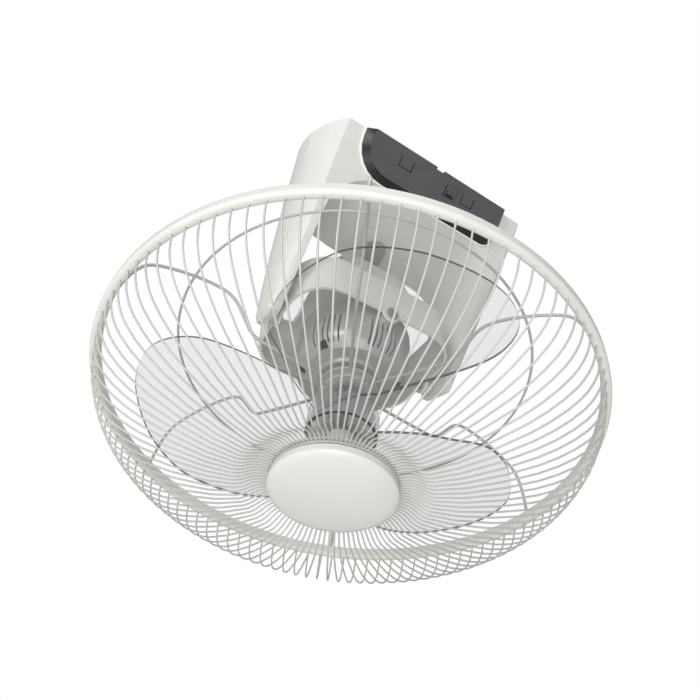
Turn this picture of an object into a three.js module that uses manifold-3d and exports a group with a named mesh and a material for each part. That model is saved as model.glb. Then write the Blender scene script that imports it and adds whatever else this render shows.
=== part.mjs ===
// Orbiting ceiling fan with a round wire cage, in millimetres, +Z up.
// The origin is on the ceiling plane, straight above the centre of the gimbal that carries the fan head.
// +X runs along the long side of the ceiling base, and the control panel faces -Y.
// The rest pose is one point of the orbit: the head hangs about 21.5 degrees off plumb.
import * as THREE from 'three';
import { mergeGeometries, mergeVertices } from 'three/addons/utils/BufferGeometryUtils.js';
import Module from 'manifold-3d';

const wasm = await Module();
wasm.setup();

// ---- Driving sizes ----------------------------------------------------------------------------
const RIM_R = 240; // outer radius of the cage's hoop
const RIM_HEIGHT = 15.2; // height of the hoop
const CAGE_DEPTH = 86.5; // how far the front wires reach below the hoop's middle
const WIRE_COUNT = 106; // radial wires in the front guard
const WIRE_R = 1.1; // radius of a front wire
const SPOKE_COUNT = 6; // heavy wires in the rear guard
const SPOKE_R = 1.8; // radius of a rear wire
const BADGE_R = 58.9; // radius of the plain round cap under the cage
const BLADE_TIP_R = 200.5; // blade tip circle, for a 16 inch fan
const BLADE_COUNT = 3;
const BLADE_T = 2; // blade thickness
const HUB_R = 34; // radius of the blades' hub
const MOTOR_R = 58; // radius of the motor housing
const RIM_DROP = 89; // gimbal centre to the hoop's middle, along the head's axis
const STEM_LENGTH = 120; // gimbal centre to the ball on the head's stem
const SWING_TILT = -20.24 * Math.PI / 180; // swing frame at rest, about X
const HEAD_TILT = 7.38 * Math.PI / 180; // head at rest, about the frame's own Y
const FRAME_HALF_Y = MOTOR_R + 9; // swing frame, half its width
const FRAME_TOP = 108; // swing frame, height above the gimbal centre
const FRAME_WALL = 3;
const BASE_HALF_X = 131; // base at the ceiling, half its length
const BASE_FAR_Y = 52.4; // base at the ceiling, rounded far side
const BASE_NEAR_Y = -104.6; // base at the ceiling, flat near side
const BASE_DEPTH = 40; // underside of the base, below the ceiling
const LEG_END = 187.6; // lower end of the two legs, below the ceiling
const GIMBAL_Z = 10 - LEG_END; // height of the gimbal centre, in the legs' lower ends
const LEG_IN_X = 100; // inner face of each leg
const FRAME_HALF_X = LEG_IN_X - 8; // swing frame, half its length
const ARCH_R = 45; // rounding where a leg meets the underside
const WALL = 3.2; // base wall
const PIVOT_R = 4; // radius of the four gimbal pins
const GAP = 0.3; // space between pieces that touch

// ---- Colours ----------------------------------------------------------------------------------
const WHITE = 0xf2f2ef;
const SOFT_WHITE = 0xe6e6e2;
const SHELL = 0xd6d6d1;
const FROSTED = 0xe9ecea;
const CHARCOAL = 0x55565a;
const DARK = 0x26272a;
const STEEL = 0xb4b7ba;
const COPPER = 0xb87333;
const BOARD = 0x2f6b46;

// ---- Solids -----------------------------------------------------------------------------------
function solid(geometry) {
  const bare = geometry.clone();
  for (const name of Object.keys(bare.attributes)) {
    if (name !== 'position') bare.deleteAttribute(name);
  }
  const welded = mergeVertices(bare, 1e-4);
  const p = welded.attributes.position;
  const triangles = [];
  const a = new THREE.Vector3();
  const b = new THREE.Vector3();
  const c = new THREE.Vector3();
  let volume = 0;
  for (let i = 0; i < welded.index.count; i += 3) {
    const corner = [0, 1, 2].map((k) => welded.index.getX(i + k));
    if (new Set(corner).size < 3) continue;
    triangles.push(...corner);
    a.fromBufferAttribute(p, corner[0]);
    b.fromBufferAttribute(p, corner[1]);
    c.fromBufferAttribute(p, corner[2]);
    volume += a.dot(b.cross(c));
  }
  if (volume < 0) triangles.reverse();
  return new wasm.Manifold(new wasm.Mesh({
    numProp: 3,
    vertProperties: new Float32Array(p.array),
    triVerts: new Uint32Array(triangles),
  }));
}

function geometryOf(body) {
  const mesh = body.getMesh();
  const geometry = new THREE.BufferGeometry();
  geometry.setAttribute('position', new THREE.BufferAttribute(new Float32Array(mesh.vertProperties), 3));
  geometry.setIndex(new THREE.BufferAttribute(new Uint32Array(mesh.triVerts), 1));
  geometry.computeVertexNormals();
  return geometry;
}

function joined(first, ...others) {
  return others.reduce((sum, other) => sum.add(other), first);
}

function without(first, ...others) {
  return others.reduce((rest, other) => rest.subtract(other), first);
}

// A solid of revolution about Z from [radius, height] points; the outline closes by itself.
function turned(profile, segments = 36) {
  const points = profile.map(([r, z]) => new THREE.Vector2(r, z));
  const onAxis = profile[0][0] === 0 && profile[profile.length - 1][0] === 0;
  if (!onAxis) points.push(points[0].clone());
  const geometry = new THREE.LatheGeometry(points, segments);
  geometry.rotateX(Math.PI / 2);
  return solid(geometry);
}

function ringBox(inner, outer, low, high, segments = 24) {
  return turned([[inner, low], [outer, low], [outer, high], [inner, high]], segments);
}

function disc(radius, low, high, segments = 20) {
  return turned([[0, low], [radius, low], [radius, high], [0, high]], segments);
}

function box(x0, x1, y0, y1, z0, z1) {
  const geometry = new THREE.BoxGeometry(x1 - x0, y1 - y0, z1 - z0);
  geometry.translate((x0 + x1) / 2, (y0 + y1) / 2, (z0 + z1) / 2);
  return solid(geometry);
}

// A round bar along X or Y, from one coordinate to the other.
function bar(axis, radius, from, to, u = 0, v = 0, segments = 16) {
  const geometry = new THREE.CylinderGeometry(radius, radius, to - from, segments);
  if (axis === 'x') geometry.rotateZ(-Math.PI / 2).translate((from + to) / 2, u, v);
  if (axis === 'y') geometry.translate(u, (from + to) / 2, v);
  return solid(geometry);
}

function shapeOf(points) {
  return new THREE.Shape(points.map(([x, y]) => new THREE.Vector2(x, y)));
}

function extruded(points, low, high) {
  const geometry = new THREE.ExtrudeGeometry(shapeOf(points), { depth: high - low, bevelEnabled: false });
  geometry.translate(0, 0, low);
  return solid(geometry);
}

// A closed skin through rings of [x, y, z] points that all have the same count, capped at both ends.
function loft(rings) {
  const count = rings[0].length;
  const flat = rings.flat();
  const index = [];
  for (let ring = 0; ring + 1 < rings.length; ring += 1) {
    for (let i = 0; i < count; i += 1) {
      const j = (i + 1) % count;
      const low = ring * count;
      const high = low + count;
      index.push(low + i, low + j, high + j, low + i, high + j, high + i);
    }
  }
  const ends = [[0, true], [rings.length - 1, false]];
  for (const [ring, turn] of ends) {
    const outline = rings[ring].map(([x, y]) => new THREE.Vector2(x, y));
    const faces = THREE.ShapeUtils.triangulateShape(outline, []);
    for (const [i, j, k] of faces) {
      const at = ring * count;
      index.push(at + i, at + (turn ? k : j), at + (turn ? j : k));
    }
  }
  const geometry = new THREE.BufferGeometry();
  geometry.setAttribute('position', new THREE.Float32BufferAttribute(flat.flat(), 3));
  geometry.setIndex(index);
  return solid(geometry);
}

// A rounded rectangle, counter-clockwise, with `steps` edges in each corner.
function roundedRectangle(halfX, halfY, radius, steps = 5) {
  const points = [];
  const corners = [[1, 1, 0], [-1, 1, 90], [-1, -1, 180], [1, -1, 270]];
  for (const [sx, sy, start] of corners) {
    for (let k = 0; k <= steps; k += 1) {
      const angle = (start + 90 * k / steps) * Math.PI / 180;
      points.push([
        sx * (halfX - radius) + radius * Math.cos(angle),
        sy * (halfY - radius) + radius * Math.sin(angle),
      ]);
    }
  }
  return points;
}

// The way a wire runs: straight from point to point, with one section on every point.
class PointPath extends THREE.Curve {
  constructor(points) {
    super();
    this.points = points;
  }

  getPoint(t, target = new THREE.Vector3()) {
    return target.copy(this.points[Math.round(t * (this.points.length - 1))]);
  }

  getPointAt(t, target) {
    return this.getPoint(t, target);
  }

  getTangentAt(t, target = new THREE.Vector3()) {
    const last = this.points.length - 1;
    const i = Math.round(t * last);
    const before = this.points[Math.max(i - 1, 0)];
    const after = this.points[Math.min(i + 1, last)];
    return target.subVectors(after, before).normalize();
  }
}

function wireGeometry(points, radius, sides) {
  const section = [];
  for (let k = 0; k < sides; k += 1) {
    const angle = 2 * Math.PI * (k + 0.5) / sides;
    section.push([radius * Math.cos(angle), radius * Math.sin(angle)]);
  }
  return new THREE.ExtrudeGeometry(shapeOf(section), {
    steps: points.length - 1,
    bevelEnabled: false,
    extrudePath: new PointPath(points),
  });
}

// The same bent wire repeated round Z; `profile` holds [radius, height] points.
function radialWires(profile, radius, sides, count, start) {
  const points = profile.map(([r, z]) => new THREE.Vector3(r, 0, z));
  const one = wireGeometry(points, radius, sides);
  const all = [];
  for (let k = 0; k < count; k += 1) {
    all.push(one.clone().rotateZ(start + 2 * Math.PI * k / count));
  }
  return solid(mergeGeometries(all));
}

const RING_SIDES = 54; // every ring of the cage has the same sides, so that they nest

// A closed ring of wire; its section is square, so that crossing wires enter a flat face.
function ringWire(radius, z, wire, segments = RING_SIDES) {
  return ringBox(radius - wire, radius + wire, z - wire, z + wire, segments);
}

// A screw or rivet along +Z from its tip to the top of its head.
function screw(shank, length, head, headHeight) {
  return turned([
    [0, 0], [shank * 0.6, 0], [shank, shank * 0.5], [shank, length], [head, length],
    [head, length + headHeight * 0.6], [head * 0.7, length + headHeight], [0, length + headHeight],
  ], 12);
}

const object = new THREE.Group();
object.name = 'orbit_fan';

function node(group, name, body, color, options = {}) {
  const material = new THREE.MeshStandardMaterial({
    name,
    color,
    roughness: options.roughness ?? 0.45,
    metalness: options.metalness ?? 0,
    transparent: options.opacity !== undefined,
    opacity: options.opacity ?? 1,
  });
  const mesh = new THREE.Mesh(geometryOf(body), material);
  mesh.name = name;
  if (options.move) mesh.applyMatrix4(options.move);
  group.add(mesh);
  return mesh;
}

// ---- Base: housing with two legs --------------------------------------------------------------
// Sections of the housing at a height: flat near side, rounded ends and far side.
const BASE_MID_Y = -50.6;
const TIP_HALF_X = LEG_IN_X + 12;
const TIP_FAR_Y = 15;
const TIP_NEAR_Y = -27;
const CUT_ANGLE = Math.asin((BASE_MID_Y - BASE_NEAR_Y) / (BASE_FAR_Y - BASE_MID_Y));
const TIP_POWER = 0.4; // makes the lower section squarer than the ellipse at the ceiling

function baseSection(t, inset, z) {
  const steps = 28;
  const halfX = THREE.MathUtils.lerp(BASE_HALF_X, TIP_HALF_X, t) - inset;
  const nearY = THREE.MathUtils.lerp(BASE_NEAR_Y, TIP_NEAR_Y, t) + inset;
  const farY = THREE.MathUtils.lerp(BASE_FAR_Y, TIP_FAR_Y, t) - inset;
  const power = THREE.MathUtils.lerp(1, TIP_POWER, t);
  const dip = Math.sin(CUT_ANGLE) ** power;
  const halfY = (farY - nearY) / (1 + dip);
  const midY = farY - halfY;
  const points = [];
  for (let k = 0; k <= steps; k += 1) {
    const angle = -CUT_ANGLE + (Math.PI + 2 * CUT_ANGLE) * k / steps;
    const c = Math.cos(angle);
    const s = Math.sin(angle);
    points.push([
      halfX * Math.sign(c) * Math.abs(c) ** power,
      midY + halfY * Math.sign(s) * Math.abs(s) ** power,
      z,
    ]);
  }
  return points;
}

function baseLoft(inset, high, low) {
  const levels = 4;
  const rings = [];
  for (let k = 0; k <= levels; k += 1) {
    const z = THREE.MathUtils.lerp(low, high, k / levels);
    rings.push(baseSection(-z / LEG_END, inset, z));
  }
  return loft(rings);
}

// The space between the legs, as seen along Y, grown by `more` on every side.
function archCut(more) {
  const top = -BASE_DEPTH + more;
  const side = LEG_IN_X + more;
  const radius = ARCH_R + more;
  const bottom = -LEG_END - 30;
  const points = [[side, bottom]];
  const steps = 8;
  for (let k = 0; k <= steps; k += 1) {
    const angle = Math.PI / 2 * k / steps;
    points.push([side - radius + radius * Math.cos(angle), top - radius + radius * Math.sin(angle)]);
  }
  for (let k = steps; k >= 0; k -= 1) {
    const angle = Math.PI / 2 * k / steps;
    points.push([-side + radius - radius * Math.cos(angle), top - radius + radius * Math.sin(angle)]);
  }
  points.push([-side, bottom]);
  const geometry = new THREE.ExtrudeGeometry(shapeOf(points), { depth: 400, bevelEnabled: false });
  geometry.translate(0, 0, -200);
  geometry.rotateX(Math.PI / 2);
  return solid(geometry);
}

const legSolidFrom = LEG_END - 26; // the legs are solid below this depth, round the pins
const hollow = without(baseLoft(WALL, 1, -legSolidFrom), archCut(WALL));
const COVER_SCREW_X = 20;
const COVER_SCREW_Z = -14;
const screwBores = [-1, 1].map((side) => (
  bar('y', 2.3, 0, BASE_FAR_Y + 10, side * COVER_SCREW_X, COVER_SCREW_Z, 16)));
const pinBores = [-1, 1].map((side) => (
  bar('x', PIVOT_R + GAP, side > 0 ? LEG_IN_X - 5 : -TIP_HALF_X + 3, side > 0 ? TIP_HALF_X - 3 : -LEG_IN_X + 5,
    0, GIMBAL_Z)));
const CRANK_SHAFT_R = 4;
const shaftBore = disc(CRANK_SHAFT_R + GAP, -BASE_DEPTH - 2, -BASE_DEPTH + WALL + 2);
// Softly rounded lower ends of the legs, as seen along X.
const tipRound = (() => {
  const radius = 13;
  const points = [[-300, 60], [300, 60], [300, -LEG_END + 60]];
  const steps = 6;
  const farX = TIP_FAR_Y + 4;
  const nearX = TIP_NEAR_Y - 3;
  for (let k = 0; k <= steps; k += 1) {
    const angle = Math.PI / 2 * k / steps;
    points.push([farX - radius + radius * Math.cos(angle), -LEG_END + radius - radius * Math.sin(angle)]);
  }
  for (let k = steps; k >= 0; k -= 1) {
    const angle = Math.PI / 2 * k / steps;
    points.push([nearX + radius - radius * Math.cos(angle), -LEG_END + radius - radius * Math.sin(angle)]);
  }
  points.push([-300, -LEG_END + 60]);
  const geometry = new THREE.ExtrudeGeometry(shapeOf(points), { depth: 400, bevelEnabled: false });
  geometry.translate(0, 0, -200);
  geometry.rotateX(Math.PI / 2);
  geometry.rotateZ(Math.PI / 2);
  return solid(geometry);
})();
// The outer lower corners of the legs are cut back, so that the rear guard swings clear of them.
const legTrim = (() => {
  const cut = TIP_HALF_X - 5;
  const rise = 200;
  const points = [
    [-cut, -LEG_END], [cut, -LEG_END], [cut + rise, -LEG_END + rise], [cut + rise, 60],
    [-cut - rise, 60], [-cut - rise, -LEG_END + rise],
  ];
  const geometry = new THREE.ExtrudeGeometry(shapeOf(points), { depth: 400, bevelEnabled: false });
  geometry.translate(0, 0, -200);
  geometry.rotateX(Math.PI / 2);
  return solid(geometry);
})();
const housing = without(
  baseLoft(0, 0, -LEG_END).intersect(tipRound).intersect(legTrim),
  archCut(0), hollow, ...screwBores, ...pinBores, shaftBore,
);
node(object, 'base_housing', housing, WHITE);

// Ceiling plate, flush with the ceiling, with two lugs for the cover screws.
const PLATE_T = 2;
const plateRim = baseSection(0, WALL + GAP + 1.2, 0).map(([x, y]) => [x, y]);
const lugY = BASE_FAR_Y - WALL - 10;
const lugs = [-1, 1].map((side) => (
  box(side * COVER_SCREW_X - 6, side * COVER_SCREW_X + 6, lugY - 4, lugY + 2, COVER_SCREW_Z - 7, -1)));
const lugBores = [-1, 1].map((side) => (
  bar('y', 2.3, lugY - 20, lugY + 20, side * COVER_SCREW_X, COVER_SCREW_Z, 16)));
node(object, 'ceiling_plate', without(joined(extruded(plateRim, -PLATE_T, 0), ...lugs), ...lugBores), STEEL,
  { metalness: 0.8 });

for (const side of [-1, 1]) {
  const name = side < 0 ? 'cover_screw_left' : 'cover_screw_right';
  const move = new THREE.Matrix4().makeTranslation(side * COVER_SCREW_X, lugY - 8, COVER_SCREW_Z)
    .multiply(new THREE.Matrix4().makeRotationX(-Math.PI / 2));
  node(object, name, screw(2, 18.4, 3.6, 2), STEEL, { metalness: 0.8, move });
}

// Pins that carry the swing frame in the legs.
for (const side of [-1, 1]) {
  const name = side < 0 ? 'left_leg_pin' : 'right_leg_pin';
  const pin = side < 0
    ? bar('x', PIVOT_R, -TIP_HALF_X + 3 + GAP, -FRAME_HALF_X + 6, 0, GIMBAL_Z)
    : bar('x', PIVOT_R, FRAME_HALF_X - 6, TIP_HALF_X - 3 - GAP, 0, GIMBAL_Z);
  node(object, name, pin, STEEL, { metalness: 0.8 });
}

// ---- Control panel on the slanted near side ---------------------------------------------------
// Panel frame: X along the base, Y up the slanted face, Z out of it.
const faceSlant = Math.atan2(TIP_NEAR_Y - BASE_NEAR_Y, LEG_END);
const panelMove = new THREE.Matrix4().makeTranslation(0, BASE_NEAR_Y, 0)
  .multiply(new THREE.Matrix4().makeRotationX(Math.PI / 2 + faceSlant));
const PANEL_T = 7;
const PANEL_CHAMFER = 7;
const PANEL_LEFT = -92;
const PANEL_RIGHT = 88;
const PANEL_HIGH = -0.4;
const PANEL_LOW = -BASE_DEPTH / Math.cos(faceSlant);

// The outline at a height above the slanted face; its upper edge is cut level with the ceiling.
function panelOutline(inset, out) {
  const big = 36 - inset;
  const small = 15 - inset * 0.8;
  const left = PANEL_LEFT + inset;
  const right = PANEL_RIGHT - inset * 0.45;
  const high = PANEL_HIGH + out * Math.tan(faceSlant);
  const low = PANEL_LOW + inset;
  const points = [[left + inset * 0.3, high]];
  const steps = 6;
  for (let k = 0; k <= steps; k += 1) {
    const angle = Math.PI + Math.PI / 2 * k / steps;
    points.push([left + big + big * Math.cos(angle), low + big + big * Math.sin(angle)]);
  }
  for (let k = 0; k <= steps; k += 1) {
    const angle = -Math.PI / 2 + Math.PI / 2 * k / steps;
    points.push([right - small + small * Math.cos(angle), low + small + small * Math.sin(angle)]);
  }
  points.push([right, high]);
  return points;
}

const atDepth = (points, z) => points.map(([x, y]) => [x, y, z]);
const panelBlock = loft([
  atDepth(panelOutline(0, GAP), GAP),
  atDepth(panelOutline(0, 1.6), 1.6),
  atDepth(panelOutline(PANEL_CHAMFER, PANEL_T), PANEL_T),
]);
const BUTTON_TOP = -7.5;
const BUTTON_H = 10;
const BUTTON_W = 14;
const buttonX = { power_button: -41, swing_button: 38 };
const SENSOR_X = 15;
const windows = Object.values(buttonX).map((x) => (
  box(x - BUTTON_W / 2 - 0.9, x + BUTTON_W / 2 + 0.9, BUTTON_TOP - BUTTON_H - 0.9, BUTTON_TOP + GAP, -1, PANEL_T + 1)));
const sensorPocket = box(SENSOR_X - 9.5, SENSOR_X + 9.5, -20.5, -7.5, 1.8, PANEL_T + 1);
const NOTCH_FLOOR = PANEL_HIGH + PANEL_T * Math.tan(faceSlant) - 2.5;
const panelNotch = box(-8, 1.5, NOTCH_FLOOR, NOTCH_FLOOR + 6, -1, PANEL_T + 1);
node(object, 'control_panel', without(panelBlock, ...windows, sensorPocket, panelNotch), CHARCOAL,
  { move: panelMove, roughness: 0.5 });
const lens = joined(
  box(SENSOR_X - 8.2, SENSOR_X + 8.2, -19.4, -8.6, 1.8 + GAP, 3.2),
  box(SENSOR_X - 4.5, SENSOR_X + 4.5, -17.5, -11, 3, 5.4),
);
node(object, 'receiver_lens', lens, DARK, { move: panelMove, roughness: 0.2 });
for (const [name, x] of Object.entries(buttonX)) {
  const cap = box(x - BUTTON_W / 2, x + BUTTON_W / 2, BUTTON_TOP - BUTTON_H, BUTTON_TOP, 1.8, PANEL_T - 0.2);
  node(object, name, cap, CHARCOAL, { move: panelMove, roughness: 0.5 });
}

// ---- What is inside the base ------------------------------------------------------------------
const FLOOR = -BASE_DEPTH + WALL; // inner face of the base's underside
const SWING_MOTOR_R = 24;
const swingMotor = without(
  joined(
    disc(SWING_MOTOR_R, FLOOR + GAP, FLOOR + 24),
    box(-SWING_MOTOR_R - 9, SWING_MOTOR_R + 9, -6, 6, FLOOR + GAP, FLOOR + 3),
  ),
  disc(CRANK_SHAFT_R + GAP, FLOOR - 5, FLOOR + 18),
);
node(object, 'swing_motor', swingMotor, STEEL, { metalness: 0.6 });
node(object, 'control_board', box(-96, -38, -62, -22, FLOOR + GAP, FLOOR + 1.9), BOARD);
node(object, 'board_relay', box(-90, -72, -56, -40, FLOOR + 2.2, FLOOR + 17), DARK);
node(object, 'terminal_block', box(44, 78, -58, -42, FLOOR + GAP, FLOOR + 14), SOFT_WHITE);
node(object, 'run_capacitor', box(42, 82, -18, -2, FLOOR + GAP, FLOOR + 24), DARK);

// ---- Crank that drives the orbit --------------------------------------------------------------
const stemDirection = new THREE.Vector3(0, 0, 1)
  .applyAxisAngle(new THREE.Vector3(0, 1, 0), HEAD_TILT)
  .applyAxisAngle(new THREE.Vector3(1, 0, 0), SWING_TILT);
const crankReach = STEM_LENGTH * Math.hypot(stemDirection.x, stemDirection.y);
const crankTurn = Math.atan2(stemDirection.y, stemDirection.x);
const crankMove = new THREE.Matrix4().makeRotationZ(crankTurn);
const crankOutline = [];
for (let k = 0; k <= 10; k += 1) {
  const angle = Math.PI / 2 + Math.PI * k / 10;
  crankOutline.push([11 * Math.cos(angle), 11 * Math.sin(angle)]);
}
for (let k = 0; k <= 10; k += 1) {
  const angle = -Math.PI / 2 + Math.PI * k / 10;
  crankOutline.push([crankReach + 9.5 * Math.cos(angle), 9.5 * Math.sin(angle)]);
}
const CRANK_TOP = -BASE_DEPTH - 1;
const crankArm = joined(
  extruded(crankOutline, CRANK_TOP - 5, CRANK_TOP),
  disc(CRANK_SHAFT_R, CRANK_TOP - 1, FLOOR + 17, 24),
);
node(object, 'crank_arm', crankArm, SOFT_WHITE, { move: crankMove });
const socket = ringBox(6.4, 9.2, CRANK_TOP - 11, CRANK_TOP - 5 - GAP, 24);
node(object, 'crank_socket', socket, DARK, {
  move: crankMove.clone().multiply(new THREE.Matrix4().makeTranslation(crankReach, 0, 0)),
});

// ---- Swing frame, in its own tilted frame with the gimbal centre at the origin ----------------
const swing = new THREE.Group();
swing.name = 'swing_frame_group';
swing.position.set(0, 0, GIMBAL_Z);
swing.rotation.x = SWING_TILT;
object.add(swing);

const EAR_DROP = 9;
function frameShell(inset, low, high) {
  const kx = FRAME_HALF_X / 92;
  const ky = FRAME_HALF_Y / 67;
  const levels = [
    [low, 92, 67, 40], [46, 92, 67, 40], [50, 89, 65, 40], [60, 62, 56, 36],
    [92, 54, 49, 32], [101, 46, 42, 30], [high, 31, 29, 22],
  ];
  return loft(levels.map(([z, x, y, r]) => {
    const outline = roundedRectangle(x * kx - inset, y * ky - inset, Math.max(r - inset, 4));
    return atDepth(outline, z >= high ? z : Math.min(z, high - 1));
  }));
}
const ears = [];
const earBores = [];
for (const side of [-1, 1]) {
  const outX = side * FRAME_HALF_X;
  const inX = side * (FRAME_HALF_X - FRAME_WALL);
  const outY = side * FRAME_HALF_Y;
  const inY = side * (FRAME_HALF_Y - FRAME_WALL);
  ears.push(bar('x', EAR_DROP, Math.min(outX, inX), Math.max(outX, inX), 0, 0));
  ears.push(bar('y', EAR_DROP, Math.min(outY, inY), Math.max(outY, inY), 0, 0));
  earBores.push(bar('x', PIVOT_R + GAP, Math.min(outX * 1.2, inX * 0.8), Math.max(outX * 1.2, inX * 0.8), 0, 0));
  earBores.push(bar('y', PIVOT_R + GAP, Math.min(outY * 1.2, inY * 0.8), Math.max(outY * 1.2, inY * 0.8), 0, 0));
}
const SLOT_HALF_X = 49;
const SLOT_HALF_Y = 7.6;
const slot = extruded(roundedRectangle(SLOT_HALF_X, SLOT_HALF_Y, SLOT_HALF_Y - 0.1, 4), 60, FRAME_TOP + 20);
const frameBody = without(
  joined(frameShell(0, 0, FRAME_TOP), ...ears),
  frameShell(FRAME_WALL, -1, FRAME_TOP - FRAME_WALL), slot, ...earBores,
);
node(swing, 'swing_frame', frameBody, WHITE);
for (const side of [-1, 1]) {
  const low = side > 0 ? FRAME_HALF_X + GAP : -LEG_IN_X + GAP;
  const high = side > 0 ? LEG_IN_X - GAP : -FRAME_HALF_X - GAP;
  const washer = without(bar('x', 8, low, high, 0, 0), bar('x', PIVOT_R + GAP, low - 5, high + 5, 0, 0));
  node(swing, side < 0 ? 'left_swing_bush' : 'right_swing_bush', washer, SOFT_WHITE);
}
const BOSS_REACH = MOTOR_R + 4; // how far the motor's pivot bosses stand out
for (const side of [-1, 1]) {
  const tip = side * (MOTOR_R - 1.5);
  const head = side * (FRAME_HALF_Y + GAP);
  const pin = joined(
    bar('y', PIVOT_R, Math.min(tip, head), Math.max(tip, head), 0, 0),
    bar('y', PIVOT_R + 2.5, Math.min(head, head + side * 2.5), Math.max(head, head + side * 2.5), 0, 0),
  );
  node(swing, side < 0 ? 'near_head_pin' : 'far_head_pin', pin, STEEL, { metalness: 0.8 });
}

// ---- Fan head: heights are measured from the hoop's middle ------------------------------------
const head = new THREE.Group();
head.name = 'fan_head_group';
head.rotation.y = HEAD_TILT;
swing.add(head);
const cage = new THREE.Group();
cage.name = 'cage_group';
cage.position.z = -RIM_DROP;
head.add(cage);

const PIVOT_Z = RIM_DROP; // gimbal centre as seen from the hoop's middle
const COVER_SPLIT = PIVOT_Z + 12;
const COVER_T = 2.5;

// Front half of the motor housing: side wall, stepped face and the collar that holds the guard.
const COLLAR_R = 16;
const frontOuter = [
  [MOTOR_R, COVER_SPLIT], [MOTOR_R, 60], [MOTOR_R - 2.5, 54], [MOTOR_R - 10, 49.5],
  [MOTOR_R - 11.5, 47], [MOTOR_R - 24, 45.5], [MOTOR_R - 26, 42.5], [COLLAR_R, 41.5], [COLLAR_R, 31],
];
const frontInner = [
  [11.3, 31], [11.3, 39.5], [7, 39.5], [7, 47.5], [MOTOR_R - 26, 48], [MOTOR_R - 15, 51.5],
  [MOTOR_R - COVER_T, 61], [MOTOR_R - COVER_T, COVER_SPLIT],
];
const bosses = [-1, 1].map((side) => (
  bar('y', 8, side > 0 ? MOTOR_R - 2.3 : -BOSS_REACH, side > 0 ? BOSS_REACH : -MOTOR_R + 2.3, 0, PIVOT_Z)));
const bossBores = [-1, 1].map((side) => (
  bar('y', PIVOT_R + GAP, side > 0 ? MOTOR_R - 2 : -BOSS_REACH - 3, side > 0 ? BOSS_REACH + 3 : -MOTOR_R + 2, 0,
    PIVOT_Z)));
const vents = [];
const VENT_GROUPS = [-122, -62, -2, 58, 118, 178]; // clear of the pivot bosses
for (const middle of VENT_GROUPS) {
  for (let k = -1.5; k <= 1.5; k += 1) {
    const slit = new THREE.BoxGeometry(12, 2, 34);
    slit.translate(MOTOR_R, 0, 78);
    slit.rotateZ((middle + k * 7.5) * Math.PI / 180);
    vents.push(solid(slit));
  }
}
const ports = [];
for (let k = 0; k < 4; k += 1) {
  const port = new THREE.BoxGeometry(14, 12, 9);
  port.translate(MOTOR_R - 5, 0, 51.5);
  port.rotateZ((-150 + 90 * k) * Math.PI / 180);
  ports.push(solid(port));
}
const frontCover = without(joined(turned([...frontOuter, ...frontInner]), ...bosses), ...bossBores, ...vents, ...ports);
node(cage, 'motor_front_cover', frontCover, SHELL);

const rearOuter = [
  [MOTOR_R, COVER_SPLIT + GAP], [MOTOR_R, PIVOT_Z + 18], [MOTOR_R - 3, PIVOT_Z + 24], [MOTOR_R - 12, PIVOT_Z + 34],
  [MOTOR_R - 16, PIVOT_Z + 42], [MOTOR_R - 30, PIVOT_Z + 53], [15, PIVOT_Z + 57],
];
const rearInner = [
  [5 + GAP, PIVOT_Z + 57], [5 + GAP, PIVOT_Z + 45], [11, PIVOT_Z + 45], [11, PIVOT_Z + 52],
  [MOTOR_R - 32, PIVOT_Z + 49], [MOTOR_R - 19, PIVOT_Z + 39], [MOTOR_R - 14.5, PIVOT_Z + 31.5],
  [MOTOR_R - COVER_T - 2, PIVOT_Z + 20], [MOTOR_R - COVER_T, COVER_SPLIT + 5], [MOTOR_R - COVER_T, COVER_SPLIT + GAP],
];
node(cage, 'motor_rear_cover', turned([...rearOuter, ...rearInner], 32), SHELL);

// Stem with the ball that the crank leads round.
const BALL_R = 6;
const stemLow = PIVOT_Z + 45.5;
const stemTop = PIVOT_Z + STEM_LENGTH;
node(cage, 'swing_stem', disc(5, stemLow, stemTop - BALL_R - GAP, 24), STEEL, { metalness: 0.8 });
const ballOutline = [];
for (let k = 0; k <= 8; k += 1) {
  const angle = -Math.PI / 2 + Math.PI * k / 8;
  ballOutline.push([k % 8 === 0 ? 0 : BALL_R * Math.cos(angle), stemTop + BALL_R * Math.sin(angle)]);
}
node(cage, 'stem_ball', turned(ballOutline, 16), SOFT_WHITE);

// Inside the motor.
const STATOR_IN = MOTOR_R / 2;
const WINDING_OUT = MOTOR_R - 9;
const STATOR_LOW = PIVOT_Z - 22;
const STATOR_HIGH = PIVOT_Z + 6;
node(cage, 'stator_core', ringBox(STATOR_IN, MOTOR_R - COVER_T - GAP, STATOR_LOW, STATOR_HIGH, 36), STEEL,
  { metalness: 0.6 });
node(cage, 'front_winding', ringBox(STATOR_IN + 3, WINDING_OUT, STATOR_LOW - 9, STATOR_LOW - GAP), COPPER);
node(cage, 'rear_winding', ringBox(STATOR_IN + 3, WINDING_OUT, STATOR_HIGH + GAP, STATOR_HIGH + 10), COPPER);
const SHAFT_R = 4;
const BEARING_R = 10.7;
node(cage, 'front_bearing', ringBox(SHAFT_R + GAP, BEARING_R, 31.5, 39.2, 16), STEEL, { metalness: 0.8 });
node(cage, 'rear_bearing', ringBox(SHAFT_R + GAP, BEARING_R, PIVOT_Z + 36, PIVOT_Z + 44.7, 16), STEEL,
  { metalness: 0.8 });

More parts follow.
